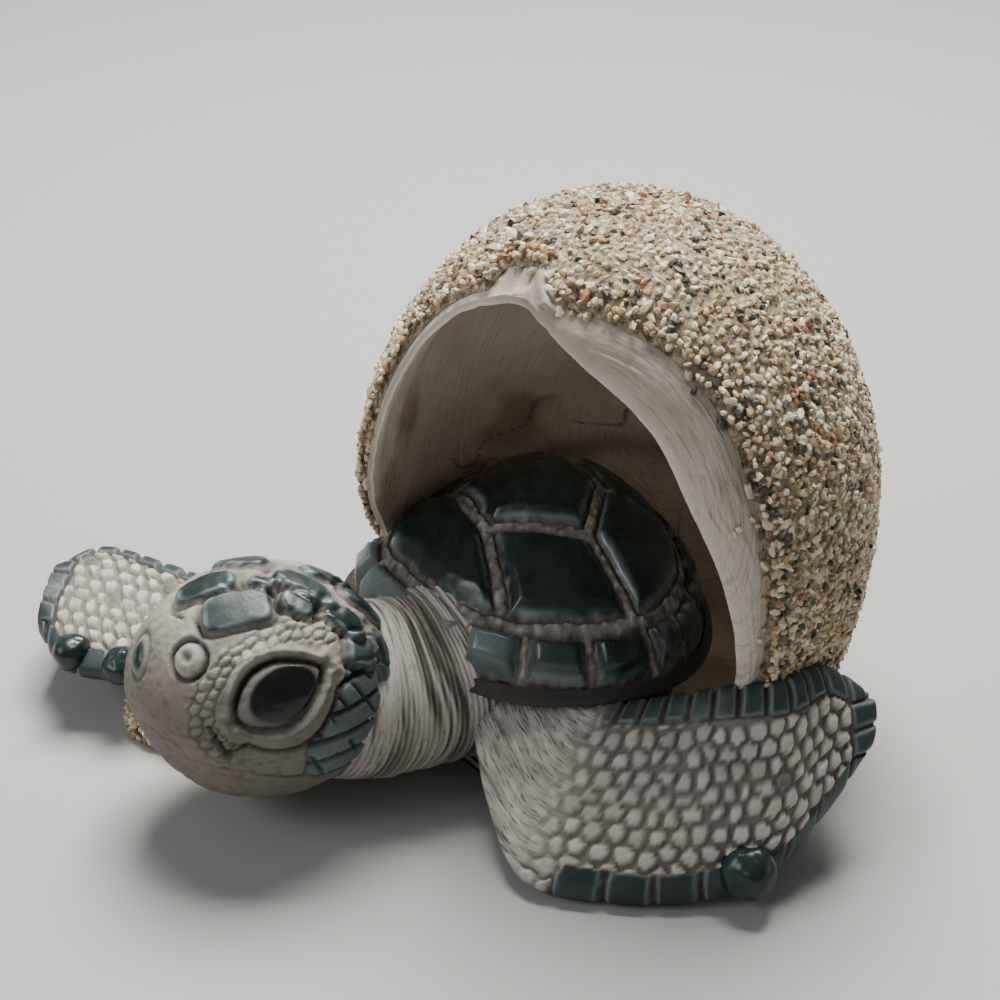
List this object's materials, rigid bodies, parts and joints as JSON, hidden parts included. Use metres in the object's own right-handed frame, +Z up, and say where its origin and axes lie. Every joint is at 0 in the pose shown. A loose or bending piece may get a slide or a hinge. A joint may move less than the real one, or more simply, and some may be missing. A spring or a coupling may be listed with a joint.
{
  "type": "clay sea turtle figurine",
  "caption": "Small glazed clay figurine of a sea turtle hatchling climbing out of a sand-coated egg.",
  "frame": {"origin": "centre of the egg's flat foot, on the table", "axes": "+Z up, the turtle faces -Y"},
  "size_m": [0.0823, 0.0753, 0.0583],
  "materials": {
    "bare_clay": "matte fired clay, off-white, stained grey-brown inside",
    "sand": "coarse beach sand, cream with tan, amber and dark grains",
    "glazed_clay": "dark teal glaze on the scutes, light matte clay with a dark wash in the grooves elsewhere"
  },
  "bodies": {
    "root": {"egg_shell": "bare_clay", "sand_coat": "sand", "turtle": "glazed_clay", "sand_mound": "sand"}
  },
  "joints": []
}
